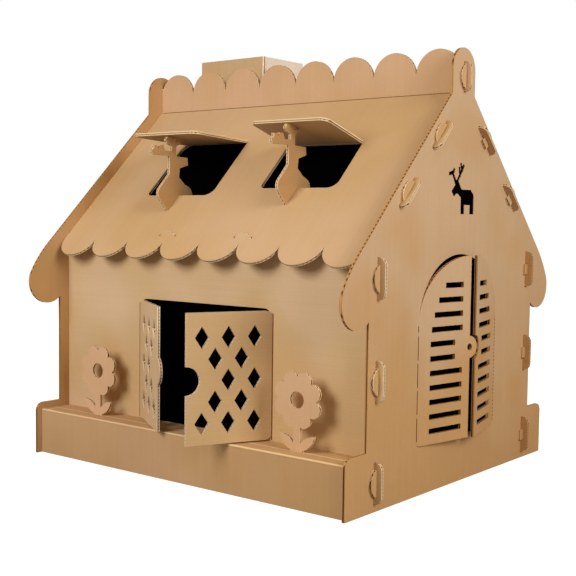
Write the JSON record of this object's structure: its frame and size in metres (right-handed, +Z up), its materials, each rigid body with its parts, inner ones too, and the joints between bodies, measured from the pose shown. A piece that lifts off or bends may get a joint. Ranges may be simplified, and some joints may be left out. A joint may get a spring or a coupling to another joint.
{
  "type": "cardboard playhouse",
  "caption": "Slotted corrugated cardboard playhouse with gabled scalloped roof, lattice doors, louvred shutters, awning windows, chimney and cut-out flowers.",
  "frame": {"origin": "bottom centre of the bounding box, on the floor", "axes": "+X to the right along the front wall, +Y from the front to the back, +Z up"},
  "size_m": [1.0482, 0.9824, 1.025],
  "materials": {
    "board": "matte kraft liner"
  },
  "bodies": {
    "root": {"back_plinth": "board", "back_roof": "board", "back_wall": "board", "chimney": "board", "front_plinth": "board", "front_roof": "board", "front_wall": "board", "left_back_roof_key_low": "board", "left_back_roof_key_top": "board", "left_back_wall_key_low": "board", "left_back_wall_key_middle": "board", "left_back_wall_key_top": "board", "left_flower": "board", "left_front_roof_key_low": "board", "left_front_roof_key_top": "board", "left_front_wall_key_low": "board", "left_front_wall_key_middle": "board", "left_front_wall_key_top": "board", "left_gable": "board", "left_ridge_key": "board", "left_window_strut": "board", "ridge_board": "board", "right_back_roof_key_low": "board", "right_back_roof_key_top": "board", "right_back_wall_key_low": "board", "right_back_wall_key_middle": "board", "right_back_wall_key_top": "board", "right_flower": "board", "right_front_roof_key_low": "board", "right_front_roof_key_top": "board", "right_front_wall_key_low": "board", "right_front_wall_key_middle": "board", "right_front_wall_key_top": "board", "right_gable": "board", "right_ridge_key": "board", "right_window_strut": "board"}
  },
  "joints": []
}
